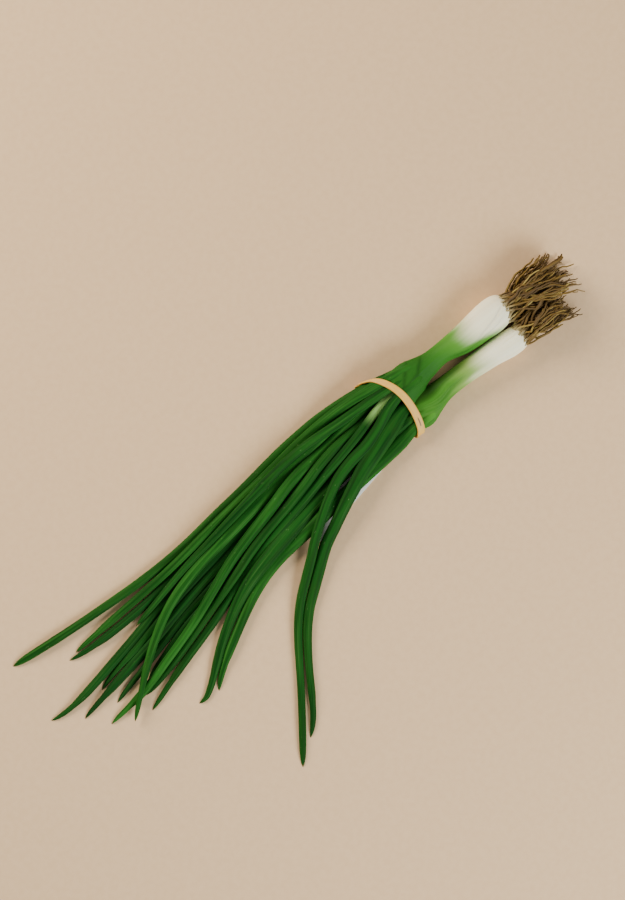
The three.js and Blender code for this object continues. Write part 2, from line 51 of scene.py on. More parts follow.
# The solids are faceted, and the middle of a flat side lies this much nearer in than its corners
leaf_solid_sides = 8
bulb_solid_sides = 16
leaf_corner = math.cos(math.pi / leaf_solid_sides)
bulb_corner = math.cos(math.pi / bulb_solid_sides)
weld = 0.004 * mm
solid_weld = 0.002 * mm

# A number that stands with a run along a leaf is in mm, as the leaf's own run is
leaf_sunk = 5 * mm
leaf_ring_spacing = 1.7 * mm
leaf_sides = 28
leaf_dents = 0.09
leaf_folds = 0.7
leaf_ridges = 0.025
leaf_tip_shrink = 1.5
leaf_base_shrink = 0.5
leaf_base_run = 6.0
leaf_lowest = 0.08 * mm
leaf_gather = 0.3
leaf_smoothing = 1
leaf_tip_width = 0.6 * mm
leaf_widening_run = 22.0
leaf_broad_fade = 1.58
leaf_far_from = 60.0
leaf_far_to = 120.0
leaf_slim_tip = (12.0, 48.0)
leaf_point_run = 5.0
leaf_point_start = 0.4
leaf_point_depth = 0.7
band_run = 22
band_press_run = 17.0
kink_reach = 4.5 * mm
kink_bulge = 0.06
kink_crush = 0.24
pale_fade = 8 * mm

# How bright each leaf is, and which neck it grows from. The brightness is partly each leaf's own tone and
# partly painted light: some, such as 07, 11 and 13, are made brighter as painted highlight.
leaf_looks = {
    "leaf_01_left_lower": (0.78, "upper"),
    "leaf_02_longest": (0.84, "lower"),
    "leaf_03_hidden_base": (0.8, "lower"),
    "leaf_04_hidden_base": (0.74, "lower"),
    "leaf_05_hidden_base": (0.78, "lower"),
    "leaf_06_crossing_under": (0.86, "lower"),
    "leaf_07_bright_middle": (1.24, "upper"),
    "leaf_08_beside_middle": (0.98, "upper"),
    "leaf_09_pale_base": (0.92, "upper"),
    "leaf_10_curled_tip": (0.9, "lower"),
    "leaf_11_broad_right": (1.14, "lower"),
    "leaf_12_outer_left": (1.0, "upper"),
    "leaf_13_hooked_over": (1.2, "upper"),
    "leaf_14_second_left": (1.1, "upper"),
    "leaf_15_kinked": (0.96, "upper"),
    "leaf_16_right_pair": (0.93, "upper"),
    "leaf_17_left_pair": (0.94, "upper"),
}
# By what share the band spreads a leaf sideways, and these leaves where it differs
leaf_spread = 0.12
leaf_spreads = {"leaf_16_right_pair": 0.25, "leaf_17_left_pair": 0.06, "leaf_11_broad_right": 0.15}
# How much broader than their solids these leaves are past the band
leaf_broadness = {
    "leaf_16_right_pair": 1.3, "leaf_17_left_pair": 1.2, "leaf_15_kinked": 1.1, "leaf_14_second_left": 1.12,
    "leaf_13_hooked_over": 1.12, "leaf_07_bright_middle": 1.12, "leaf_08_beside_middle": 1.1,
    "leaf_09_pale_base": 1.14, "leaf_10_curled_tip": 1.3, "leaf_11_broad_right": 1.05,
}
# How much broader the leaves at the bottom are all the way to their points
leaf_far_broadness = {
    "leaf_01_left_lower": 1.1, "leaf_02_longest": 1.15, "leaf_03_hidden_base": 1.25,
    "leaf_04_hidden_base": 1.25, "leaf_05_hidden_base": 1.35, "leaf_06_crossing_under": 1.25,
    "leaf_09_pale_base": 1.2, "leaf_10_curled_tip": 1.25, "leaf_13_hooked_over": 1.3,
}
# How blunt these points are: the width in mm that each soon widens to
leaf_bluntness = {
    "leaf_12_outer_left": 5.0, "leaf_17_left_pair": 4.6, "leaf_16_right_pair": 4.0,
    "leaf_10_curled_tip": 4.5, "leaf_11_broad_right": 4.2, "leaf_02_longest": 3.4,
    "leaf_13_hooked_over": 3.6,
}
# Past how many mm these leaves start to be as narrow as their solids again
leaf_broad_until = {"leaf_16_right_pair": 128.0, "leaf_17_left_pair": 146.0}
# How far past the neck, in mm, these leaves stay narrow
leaf_narrow_run = {"leaf_17_left_pair": 34.0, "leaf_15_kinked": 40.0}
# How far these leaves lie beside their line, at which run and over what run, in mm
leaf_nudges = {
    "leaf_10_curled_tip": [(-1.2, 222, 7)],
    "leaf_12_outer_left": [(-2.1, 19, 7)],
    "leaf_15_kinked": [(0.6, 38, 24)],
    "leaf_16_right_pair": [(-0.8, 96, 11), (-1.2, 125, 14)],
    "leaf_17_left_pair": [(-2.0, 45, 14), (-1.2, 132, 16)],
}
# The right leaf of the pair starts under the upper neck, between the two onions
leaf_start = {"leaf_16_right_pair": Vector((0.0935, 0.0475, 0.0088))}
kinked_leaf = {"node": "leaf_15_kinked", "at": 118 * mm}
pale_leaf = {"node": "leaf_09_pale_base", "from": 12 * mm, "to": 48 * mm}


class Wire:
    """A socket of a node tree that can stand in a Python expression."""

    def __init__(self, tree, socket=None):
        self.tree = tree
        self.socket = socket

    def node(self, kind, settings=None, inputs=None, output=0):
        """Adds a node: its settings first, then the values or links of its sockets."""
        made = self.tree.nodes.new(kind)
        for name, value in (settings or {}).items():
            if name == "stops":
                ramp = made.color_ramp.elements
                ramp.remove(ramp[-1])
                ramp[0].position, ramp[0].color = value[0]
                for position, color in value[1:]:
                    ramp.new(position).color = color
            else:
                setattr(made, name, value)
        for name, value in (inputs or {}).items():
            if isinstance(value, Wire):
                self.tree.links.new(value.socket, made.inputs[name])
            else:
                made.inputs[name].default_value = value
        return Wire(self.tree, made.outputs[output] if made.outputs else None)

    def out(self, name):
        return Wire(self.tree, self.socket.node.outputs[name])

    def math(self, operation, *values):
        is_vector = any(isinstance(value, tuple) or isinstance(value, Wire)
                        and value.socket.type in ("VECTOR", "RGBA") for value in values)
        if is_vector:
            values = [value if isinstance(value, (Wire, tuple)) else (value,) * 3 for value in values]
        kind = "ShaderNodeVectorMath" if is_vector else "ShaderNodeMath"
        return self.node(kind, {"operation": operation}, dict(enumerate(values)))

    def __add__(self, other):
        return self.math("ADD", self, other)

    def __radd__(self, other):
        return self.math("ADD", other, self)

    def __sub__(self, other):
        return self.math("SUBTRACT", self, other)

    def __rsub__(self, other):
        return self.math("SUBTRACT", other, self)

    def __mul__(self, other):
        return self.math("MULTIPLY", self, other)

    def __rmul__(self, other):
        return self.math("MULTIPLY", other, self)

    def __truediv__(self, other):
        return self.math("DIVIDE", self, other)

    def ramp(self, low, high, start=0.0, end=1.0):
        """Eases from start to end while the value goes from low to high."""
        return self.node("ShaderNodeMapRange", {"interpolation_type": "SMOOTHSTEP"},
                         {0: self, 1: low, 2: high, 3: start, 4: end})

    def named(self, name, kind="FLOAT"):
        return self.node("GeometryNodeInputNamedAttribute", {"data_type": kind}, {"Name": name})

    def keep(self, name, value, kind="FLOAT", domain="POINT"):
        return self.node("GeometryNodeStoreNamedAttribute", {"data_type": kind, "domain": domain},
                         {0: self, "Name": name, "Value": value})

    def read(self, name, output="Fac"):
        """What an attribute of the mesh holds, in a material."""
        return self.node("ShaderNodeAttribute", {"attribute_name": name}, output=output)

    def noise(self, place, scale=1.0, detail=2.0, seed=0.0):
        return self.node("ShaderNodeTexNoise", {"noise_dimensions": "4D"},
                         {"Vector": place, "Scale": scale, "Detail": detail, "W": seed})

    def blend(self, share, first, second):
        return self.node("ShaderNodeMix", {"data_type": "RGBA"}, {0: share, 6: first, 7: second}, output=2)


def tint(red, green, blue):
    """A colour as it is seen on a screen, from 0 to 255, turned into light."""
    light = [((part / 255 + 0.055) / 1.055) ** 2.4 for part in (red, green, blue)]
    return (*light, 1.0)


def new_tree(name, inputs):
    """A geometry tree with named inputs, and the wire of its group input."""
    tree = bpy.data.node_groups.new(name, "GeometryNodeTree")
    tree.interface.new_socket("Start", in_out="INPUT", socket_type="NodeSocketGeometry")
    for title, (kind, value) in inputs.items():
        port = tree.interface.new_socket(title, in_out="INPUT", socket_type="NodeSocket" + kind)
        if value is not None:
            port.default_value = value
    tree.interface.new_socket("Result", in_out="OUTPUT", socket_type="NodeSocketGeometry")
    return Wire(tree).node("NodeGroupInput")


def end_tree(result, material):
    """Realizes, shades and finishes what a tree has made, and links it to the output."""
    result = result.node("GeometryNodeMergeByDistance", inputs={0: result, "Distance": weld})
    result = result.node("GeometryNodeRealizeInstances", inputs={0: result})
    result = result.node("GeometryNodeSetShadeSmooth", inputs={0: result, "Shade Smooth": True})
    result = result.node("GeometryNodeSetMaterial", inputs={0: result, "Material": material})
    result.node("NodeGroupOutput", inputs={0: result})


def in_scene(name, data):
    """A new object in the scene, with its place at the origin."""
    piece = bpy.data.objects.new(name, data)
    bpy.context.scene.collection.objects.link(piece)
    return piece


def grow(start, name, tree, values):
    """Runs a geometry tree on a start mesh and keeps the result as a plain mesh object."""
    piece = in_scene(name, start)
    modifier = piece.modifiers.new(name, "NODES")
    modifier.node_group = tree
    for item in tree.interface.items_tree:
        if item.in_out == "INPUT" and item.name in values:
            modifier[item.identifier] = values[item.name]
    piece.update_tag()
    graph = bpy.context.evaluated_depsgraph_get()
    grown = bpy.data.meshes.new_from_object(
        piece.evaluated_get(graph), preserve_all_data_layers=True, depsgraph=graph)
    piece.modifiers.clear()
    piece.data = grown
    return piece


def finish_material(name):
    """A new material with its shader, and a wire to draw its nodes with."""
    material = bpy.data.materials.new(name)
    material.use_nodes = True
    shader = material.node_tree.nodes["Principled BSDF"]
    return material, shader, Wire(material.node_tree)


def connect(shader, **sockets):
    """Links wires to the shader's sockets; an underscore stands for a space."""
    for name, wire in sockets.items():
        wire.tree.links.new(wire.socket, shader.inputs[name.replace("_", " ")])


def leaf_skin():
    """Satin green skin with fine lines and painted highlight streaks along it, paler at the neck and dry at
    the point.
    """
    material, shader, draw = finish_material("leaf skin")
    grain = draw.read("grain", "Vector")
    tone = draw.read("tone")
    run = draw.read("run")
    left = draw.read("left")
    lines = draw.noise(grain * (7.0, 7.0, 0.012), detail=2.0, seed=tone * 40)
    broad = draw.noise(grain * (1.6, 1.6, 0.022), detail=2.0, seed=tone * 23)
    patches = draw.noise(grain * (0.7, 0.7, 0.06), detail=3.0, seed=tone * 57)
    deep = draw.blend(broad.ramp(0.3, 0.7), tint(9, 48, 13), tint(19, 72, 24))
    fair = draw.blend(broad.ramp(0.3, 0.7), tint(10, 50, 12), tint(34, 89, 28))
    green = draw.blend(tone.ramp(0.75, 1.1), deep, fair)
    green = draw.blend(lines.ramp(0.35, 0.75) * 0.3, green, tint(46, 102, 34))
    # Painted highlight: pale streaks along the leaves stand in for their sheen
    green = draw.blend(lines.ramp(0.55, 0.82) * broad.ramp(0.42, 0.66) * 0.62, green, tint(92, 132, 72))
    green = draw.blend(patches.ramp(0.5, 0.8) * 0.2, green, tint(40, 66, 20))
    lit = draw.node("ShaderNodeHueSaturation", inputs={"Color": green, "Value": tone})
    neck = draw.blend(draw.read("lower_neck"), tint(40, 96, 30), tint(78, 140, 46))
    neck = draw.node("ShaderNodeHueSaturation", inputs={"Color": neck, "Value": tone * 0.5 + 0.5})
    fresh = 1 - (run + patches * 12).ramp(8.0, 26.0)
    lit = draw.blend(fresh * 0.9, lit, neck)
    lit = draw.blend(draw.read("pale") * lines.ramp(0.2, 0.6, 0.65, 0.95), lit, tint(140, 186, 104))
    specks = draw.node("ShaderNodeTexVoronoi", inputs={"Vector": grain * (2.4, 2.4, 0.3), "Scale": 1.0})
    rare = draw.noise(grain * (1.2, 1.2, 0.09), detail=0.0, seed=3.0).ramp(0.61, 0.69)
    speck = (1 - specks.ramp(0.06, 0.17)) * rare
    lit = draw.blend(speck * 0.3, lit, tint(140, 180, 116))
    dry = 1 - (left + patches * 4).ramp(2.2, 4.4)
    lit = draw.blend(dry * 0.7, lit, tint(96, 88, 46))
    rough = lines.ramp(0.3, 0.8, 0.56, 0.7) + dry * 0.2
    height = lines * 0.6 + draw.noise(grain * (16.0, 16.0, 0.05), detail=1.0) * 0.4 + speck * 0.3
    bump = draw.node("ShaderNodeBump", inputs={"Strength": 0.35, "Distance": 0.12 * mm, "Height": height})
    connect(shader, Base_Color=lit, Roughness=rough, Normal=bump)
    shader.inputs["Specular IOR Level"].default_value = 0.04
    shader.inputs["Subsurface Weight"].default_value = 0.05
    shader.inputs["Subsurface Radius"].default_value = (0.2, 0.9, 0.15)
    shader.inputs["Subsurface Scale"].default_value = 1.2 * mm
    return material


def leaf_blade(material):
    """The tree that lofts a leaf along its line, with lengthwise dents, ribs and a kink."""
    line = new_tree("leaf blade", {
        "Ring spacing": ("Float", leaf_ring_spacing),
        "Sides": ("Int", leaf_sides),
        "Dents": ("Float", leaf_dents),
        "Ridges": ("Float", leaf_ridges),
        "Spread": ("Float", leaf_spread),
        "Broad": ("Float", 1.0),
        "Far broad": ("Float", 1.0),
        "Broad until": ("Float", 120.0),
        "Bluntness": ("Float", 3.6),
        "Narrow run": ("Float", 12.0),
        "Lowest": ("Float", leaf_lowest),
        "Seed": ("Float", 0.0),
        "Tone": ("Float", 1.0),
        "Lower neck": ("Float", 0.0),
        "Kink at": ("Float", -1.0),
        "Pale from": ("Float", -2.0),
        "Pale to": ("Float", -1.0),
    })
    path = line.node("GeometryNodeMeshToCurve", inputs={0: line})
    path = path.node("GeometryNodeCurveSplineType", {"spline_type": "CATMULL_ROM"}, {0: path})
    path = path.node("GeometryNodeResampleCurve", {"mode": "LENGTH"},
                     {0: path, "Length": line.out("Ring spacing")})
    run = path.node("GeometryNodeSplineParameter").out("Length")
    whole = path.node("GeometryNodeSplineLength")
    path = path.keep("centre", path.node("GeometryNodeInputPosition"), "FLOAT_VECTOR")
    path = path.keep("heading", path.node("GeometryNodeInputTangent"), "FLOAT_VECTOR")
    path = path.keep("run", run / mm)
    path = path.keep("left", (whole - run) / mm)
    path = path.keep("tone", line.out("Tone"))
    path = path.keep("lower_neck", line.out("Lower neck"))
    pale = run.ramp(line.out("Pale from"), line.out("Pale from") + pale_fade)
    pale = pale * (1 - run.ramp(line.out("Pale to") - pale_fade * 2, line.out("Pale to")))
    path = path.keep("pale", pale)
    circle = line.node("GeometryNodeCurvePrimitiveCircle", inputs={"Resolution": line.out("Sides")})
    circle = circle.keep("around", circle.node("GeometryNodeSplineParameter") * (2 * math.pi))
    skin = path.node("GeometryNodeCurveToMesh", inputs={0: path, 1: circle, "Fill Caps": True})
    angle = skin.named("around")
    across = skin.math("COSINE", angle)
    upward = skin.math("SINE", angle)
    distance = skin.named("run")
    grain = skin.node("ShaderNodeCombineXYZ", inputs={0: across, 1: upward, 2: distance})
    skin = skin.keep("grain", grain, "FLOAT_VECTOR")
    heading = skin.named("heading", "FLOAT_VECTOR")
    side = skin.math("NORMALIZE", skin.math("CROSS_PRODUCT", heading, (0.0, 0.0, 1.0)))
    top = skin.math("CROSS_PRODUCT", side, heading)
    dents = skin.noise(grain * (0.85, 0.85, 0.016), detail=1.0, seed=line.out("Seed")) - 0.52
    folds = skin.noise(grain * (2.6, 2.6, 0.009), detail=0.0, seed=line.out("Seed") + 7.0) - 0.52
    drift_place = skin.node("ShaderNodeCombineXYZ",
                            inputs={0: distance * 0.011, 1: line.out("Seed"), 2: 0.0})
    drift = skin.noise(drift_place, detail=0.0) * 9.0
    ridges = skin.math("COSINE", angle * 3.0 + drift) + skin.math("COSINE", angle * 5.0 - drift * 1.4) * 0.6
    near_kink = (distance * mm - line.out("Kink at")) / kink_reach
    kink = skin.math("EXPONENT", near_kink * near_kink * -1.0)
    swell = 1.0 + (dents + folds * leaf_folds) * line.out("Dents") + ridges * line.out("Ridges")
    near_band = (distance - band_run) / band_press_run
    pressed = skin.math("EXPONENT", near_band * near_band * -1.0) * line.out("Spread")
    point = skin.named("left").ramp(0.0, leaf_tip_shrink)
    point = point * distance.ramp(0.0, leaf_base_run, leaf_base_shrink, 1.0)
    widening = distance.ramp(line.out("Narrow run"), line.out("Narrow run") + leaf_widening_run)
    broad_end = line.out("Broad until")
    narrowing = distance.ramp(broad_end, broad_end * leaf_broad_fade)
    broad = 1.0 + (line.out("Broad") - 1.0) * widening * (1.0 - narrowing)
    far = distance.ramp(leaf_far_from, leaf_far_to) * skin.named("left").ramp(*leaf_slim_tip)
    broad = broad * (1.0 + (line.out("Far broad") - 1.0) * far)
    tapered = skin.math("EXPONENT", (skin.named("left") + leaf_point_start) / -leaf_point_run)
    blunt = (1.0 - tapered) * line.out("Bluntness") * mm
    width = skin.math("MAXIMUM", skin.named("width") * broad, blunt)
    height = skin.math("MAXIMUM", skin.named("height"), blunt * leaf_point_depth)
    wide = width * across * (0.5 + kink * kink_bulge) * swell * (1.0 + pressed) * point
    high = height * upward * (0.5 - kink * kink_crush) * swell * (1.0 - pressed * 0.5) * point
    place = skin.named("centre", "FLOAT_VECTOR") + side * wide + top * high
    free = skin.node("ShaderNodeSeparateXYZ", inputs={0: place})
    level = skin.math("MAXIMUM", free.out("Z"), line.out("Lowest"))
    place = skin.node("ShaderNodeCombineXYZ", inputs={0: free.out("X"), 1: free.out("Y"), 2: level})
    skin = skin.node("GeometryNodeSetPosition", inputs={0: skin, "Position": place})
    for name in ("centre", "heading", "around", "width", "height"):
        skin = skin.node("GeometryNodeRemoveAttribute", inputs={0: skin, "Name": name})
    end_tree(skin, material)
    return line.tree


def slices(node, stations):
    """Centre and half size of a node's solid on upright cuts across it."""
    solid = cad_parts[node].data
    points = np.array([vert.co for vert in solid.vertices])
    ends = np.array([edge.vertices for edge in solid.edges])
    start, end = points[ends[:, 0]], points[ends[:, 1]]
    found = []
    for x in stations:
        crossing = (start[:, 0] - x) * (end[:, 0] - x) < 0
        first, second = start[crossing], end[crossing]
        share = (x - first[:, 0]) / (second[:, 0] - first[:, 0])
        cut = first + (second - first) * share[:, None]
        low, high = cut.min(0), cut.max(0)
        found.append((*((low + high) / 2), *((high - low) / 2 / bulb_corner)))
    return np.array(found)


def leaf_line(node):
    """A line through the rings of a leaf's solid, base first, with each ring's width and height."""
    solid = bmesh.new()
    solid.from_mesh(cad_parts[node].data)
    bmesh.ops.remove_doubles(solid, verts=solid.verts, dist=solid_weld)
    ring = [min(solid.verts, key=lambda vert: vert.co.x)]
    seen = set(ring)
    rings = []
    while ring:
        rings.insert(0, [vert.co.copy() for vert in ring])
        beside = {edge.other_vert(vert) for vert in ring for edge in vert.link_edges}
        ring = list(beside - seen)
        seen |= beside
    solid.free()
    rings.pop(0)
    centres = [sum(points, Vector()) / len(points) for points in rings]
    widths = []
    heights = []
    for index, points in enumerate(rings):
        behind = centres[max(index - 1, 0)]
        ahead = centres[min(index + 1, len(centres) - 1)]
        heading = (ahead - behind).normalized()
        side = heading.cross(Vector((0, 0, 1))).normalized()
        top = side.cross(heading)
        widths.append(2 * max(abs((point - centres[index]).dot(side)) for point in points) / leaf_corner)
        heights.append(2 * max(abs((point - centres[index]).dot(top)) for point in points) / leaf_corner)
    back = (centres[0] - centres[1]).normalized()
    for _ in range(leaf_smoothing):
        inner = [before * 0.25 + here * 0.5 + after * 0.25
                 for before, here, after in zip(centres, centres[1:], centres[2:])]
        centres[1:-1] = inner
    run = 0
    for index in range(1, len(centres) - 1):
        ahead = centres[index + 1] - centres[index]
        aside = ahead.cross(Vector((0, 0, 1))).normalized()
        run += ahead.length / mm
        for nudge, middle, reach in leaf_nudges.get(node, []):
            centres[index] += aside * nudge * mm * math.exp(-((run - middle) / reach) ** 2)
    side = leaf_looks[node][1]
    low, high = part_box(f"{side}_onion_bulb")
    inside = Vector(slices(f"{side}_onion_bulb", [low.x + leaf_sunk])[0][:3])
    start = leaf_start.get(node, (centres[0] + back * leaf_sunk).lerp(inside, leaf_gather))
    centres.insert(0, start)
    widths.insert(0, widths[0])
    heights.insert(0, heights[0])
    widths[-1] = heights[-1] = leaf_tip_width / leaf_corner
    line = bpy.data.meshes.new(node)
    line.from_pydata(centres, [(index, index + 1) for index in range(len(centres) - 1)], [])
    line.attributes.new("width", "FLOAT", "POINT").data.foreach_set("value", widths)
    line.attributes.new("height", "FLOAT", "POINT").data.foreach_set("value", heights)
    return line


leaf_material = leaf_skin()
leaf_tree = leaf_blade(leaf_material)
leaf_own_values = {
    "Spread": leaf_spreads, "Broad": leaf_broadness, "Far broad": leaf_far_broadness,
    "Broad until": leaf_broad_until, "Bluntness": leaf_bluntness, "Narrow run": leaf_narrow_run,
}
leaf_seed_step = 3.7
leaf_pieces = {}
for order, (node, (tone, neck)) in enumerate(leaf_looks.items()):
    values = {"Seed": leaf_seed_step * order, "Tone": tone, "Lower neck": float(neck == "lower")}
    for title, table in leaf_own_values.items():
        if node in table:
            values[title] = table[node]
    if node == kinked_leaf["node"]:
        values["Kink at"] = kinked_leaf["at"]
    if node == pale_leaf["node"]:
        values["Pale from"] = pale_leaf["from"]
        values["Pale to"] = pale_leaf["to"]
    piece = grow(leaf_line(node), node.replace("leaf_", "grown_leaf_"), leaf_tree, values)
    leaf_pieces[node] = piece
    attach(piece, "root")
    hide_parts(node)

# Each bulb and its neck are wrapped sheaths, one grown piece: white and swollen
# at the roots, green at the other end, where the leaves part from each other.
# Thin edges of the outer sheath run along it, and it lies on a small flat spot.

bulb_stations = 70
neck_stations = 20
bulb_sides = 72
bulb_angles = np.arange(bulb_sides) * 2 * math.pi / bulb_sides
bulb_end_inset = 0.1 * mm
bulb_voxel = 0.5 * mm
bulb_softening = 9
bulb_lowest = 0.02 * mm
size_easing = 5
stub_length = {"upper": 19 * mm, "lower": 14 * mm}
stub_cover = 0.3 * mm
stub_sunk = 0.35 * mm
stub_bare_from = 0.4
stub_bare_over = 0.5
web = 0.8 * mm
wrap_inset = 3 * mm
wrap_slice = 1.5 * mm
wrap_easing = 4
sheath_reach = {"upper": 15.5 * mm, "lower": 11 * mm}
sheath_sunk = 1.9 * mm
neck_easing = 24
neck_loose = 8 * mm
neck_spread = 13 * mm
# How far a neck stands out to one side near its leaf end, at which mm past it, over
# what run in mm, and on which side
neck_swell = {
    "upper": [(2.3 * mm, 1.0, 6.0, 1), (2.7 * mm, -9.0, 6.5, -1)],
    "lower": [(3.6 * mm, 7.0, 8.0, -1)],
}
# Edges of the outer sheaths as mm from the root end, and share of the half width there
sheath_edges = {
    "upper": [
        [(3, 0.18), (14, -0.2), (34, -0.62)],
        [(8, -0.45), (30, -0.72), (50, -0.86)],
        [(66, 2.5), (74.7, 1.97), (81.6, 0.1), (92, -2.6)],
        [(60, 1.4), (71.1, -0.04), (83, -0.7), (95, -1.4)],
    ],
    "lower": [
        [(4, 0.35), (14, 0.3), (26, 0.1)],
        [(44, -0.2), (58, -0.3), (74, -0.34)],
    ],
}
edge_start = 5
edge_end = 8
edge_step = {"height": 0.2 * mm, "run": 2.5 * mm}
edge_groove = {"depth": 0.28 * mm, "width": 0.55 * mm}
crease_width = 0.7
leafy_from = 38
leafy_over = 22

# How high each kind of vein stands, and how close round and along the skin its waves are
veins_raised = [(0.16 * mm, 3, 0.036, 0), (0.05 * mm, 9, 0.03, 0)]
leafy_rib = (0.25 * mm, 4, 0.018, 5)


def ring_from_reach(x, y, z, reach):
    """The points of a round section whose outline reaches this far each way."""
    angles = np.arange(len(reach)) * 2 * math.pi / len(reach)
    slope = (np.roll(reach, -1) - np.roll(reach, 1)) / (2 * angles[1])
    across = np.cos(angles) * reach - np.sin(angles) * slope
    upward = np.sin(angles) * reach + np.cos(angles) * slope
    return np.column_stack((np.full(len(reach), x), y + across, z + upward))


def leaf_wrap(points, x):
    """How far the leaves of a neck reach each way from their middle, at one cut."""
    ways = np.column_stack((np.cos(bulb_angles), np.sin(bulb_angles)))
    near = points[np.abs(points[:, 0] - x) < wrap_slice, 1:]
    middle = (near.min(0) + near.max(0)) / 2
    reach = ((near - middle) @ ways.T).max(0)
    for _ in range(wrap_easing):
        reach = (np.roll(reach, 1) + reach * 2 + np.roll(reach, -1)) / 4
    return middle, reach


def eased_sizes(sizes):
    """The mean of each size and its neighbours, so that no ring stands out."""
    padded = np.pad(sizes, size_easing // 2, "edge")
    return np.convolve(padded, np.ones(size_easing) / size_easing, "valid")


def neck_sections(side, cuts, stations):
    """The middle of each cut through a bulb and its neck, and its reach each way."""
    low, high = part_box(f"{side}_onion_bulb")
    sizes = (cuts[:, 1], cuts[:, 2], eased_sizes(cuts[:, 4]), eased_sizes(cuts[:, 5]))
    grown = [leaf_pieces[node].data for node, (_, neck) in leaf_looks.items() if neck == side]
    leaf_points = np.array([vert.co for leaf in grown for vert in leaf.vertices])
    runs = np.linspace(low.x - sheath_reach[side], stations[-1], bulb_stations + neck_stations)
    cosine, sine = np.cos(bulb_angles), np.sin(bulb_angles)
    sections = []
    for x in runs:
        y, z, half_wide, half_tall = (np.interp(x, stations, size) for size in sizes)
        reach = np.hypot(half_wide * cosine, half_tall * sine)
        share = min(max((low.x + neck_spread - x) / (neck_spread + wrap_inset), 0), 1)
        share = share * share * (3 - 2 * share)
        past = max((low.x - x) / sheath_reach[side], 0)
        if share > 0:
            middle, wrap = leaf_wrap(leaf_points, min(x, low.x + wrap_inset))
            own = reach + (y - middle[0]) * cosine + (z - middle[1]) * sine
            wrap = np.maximum(wrap, own * (1 - past) + wrap * past)
            reach = own * (1 - share) + wrap * share
            y, z = middle
        for swell, middle_run, swell_run, way in neck_swell[side]:
            swell *= math.exp(-(((low.x - x) / mm - middle_run) / swell_run) ** 2)
            reach = reach + swell * np.clip(way * cosine, 0, 1) ** 2
        sections.append((y, z, *(reach + web - sheath_sunk * past)))
    sections = np.array(sections)
    loose = np.clip((low.x + neck_spread + neck_loose - runs[1:-1, None]) / neck_loose, 0, 1)
    for _ in range(neck_easing):
        eased = (sections[:-2] + sections[1:-1] * 2 + sections[2:]) / 4
        sections[1:-1] += (eased - sections[1:-1]) * loose
    return runs, sections


def add_leaf_stub(shape, leaf, length):
    """Adds the first stretch of a leaf to the shape, swollen at its base so that it melts in."""
    stub = bmesh.new()
    stub.from_mesh(leaf)
    run = stub.verts.layers.float["run"]
    beyond = [vert for vert in stub.verts if vert[run] * mm > length]
    bmesh.ops.delete(stub, geom=beyond, context="VERTS")
    bmesh.ops.holes_fill(stub, edges=[edge for edge in stub.edges if edge.is_boundary])
    stub.normal_update()
    for vert in stub.verts:
        share = min(max(vert[run] * mm / length, 0), 1)
        bare = min(max((share - stub_bare_from) / stub_bare_over, 0), 1)
        vert.co += vert.normal * (web * (1 - share) + stub_cover * (1 - bare) - stub_sunk * bare)
    mesh = bpy.data.meshes.new("stub")
    stub.to_mesh(mesh)
    stub.free()
    shape.from_mesh(mesh)
    bpy.data.meshes.remove(mesh)


def bulb_surface(side):
    """Lofts the bulb, wraps the first stretch of its leaves and melts all into one skin."""
    low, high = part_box(f"{side}_onion_bulb")
    stations = np.linspace(low.x + bulb_end_inset, high.x - bulb_end_inset, bulb_stations)
    cuts = slices(f"{side}_onion_bulb", stations)
    runs, sections = neck_sections(side, cuts, stations)
    shape = bmesh.new()
    outlines = [ring_from_reach(x, *section[:2], section[2:]) for x, section in zip(runs, sections)]
    rings = [[shape.verts.new(point) for point in outline] for outline in outlines]
    for near, far in zip(rings, rings[1:]):
        for corner in range(bulb_sides):
            after = (corner + 1) % bulb_sides
            shape.faces.new((near[corner], near[after], far[after], far[corner]))
    shape.faces.new(rings[0][::-1])
    shape.faces.new(rings[-1])
    for node, (_, neck) in leaf_looks.items():
        if neck == side:
            add_leaf_stub(shape, leaf_pieces[node].data, stub_length[side])
    bmesh.ops.recalc_face_normals(shape, faces=shape.faces)
    mesh = bpy.data.meshes.new(f"{side} bulb")
    shape.to_mesh(mesh)
    shape.free()
    piece = in_scene(f"{side}_bulb_and_neck", mesh)
    remesh = piece.modifiers.new("melt", "REMESH")
    remesh.mode = "VOXEL"
    remesh.voxel_size = bulb_voxel
    soften = piece.modifiers.new("soften", "SMOOTH")
    soften.factor = 0.5
    soften.iterations = bulb_softening
    graph = bpy.context.evaluated_depsgraph_get()
    melted = bpy.data.meshes.new_from_object(piece.evaluated_get(graph), depsgraph=graph)
    piece.modifiers.clear()
    piece.data = melted
    return piece, cuts, np.column_stack((runs, sections[:, :2])), high.x


def vein_lift(angle, grown, height, close_round, close_along, seed):
    """How high one kind of vein stands at each point of the skin."""
    spots = zip(np.cos(angle) * close_round, np.sin(angle) * close_round, grown * close_along + seed)
    return height * np.array([noise.noise(Vector(spot)) for spot in spots])


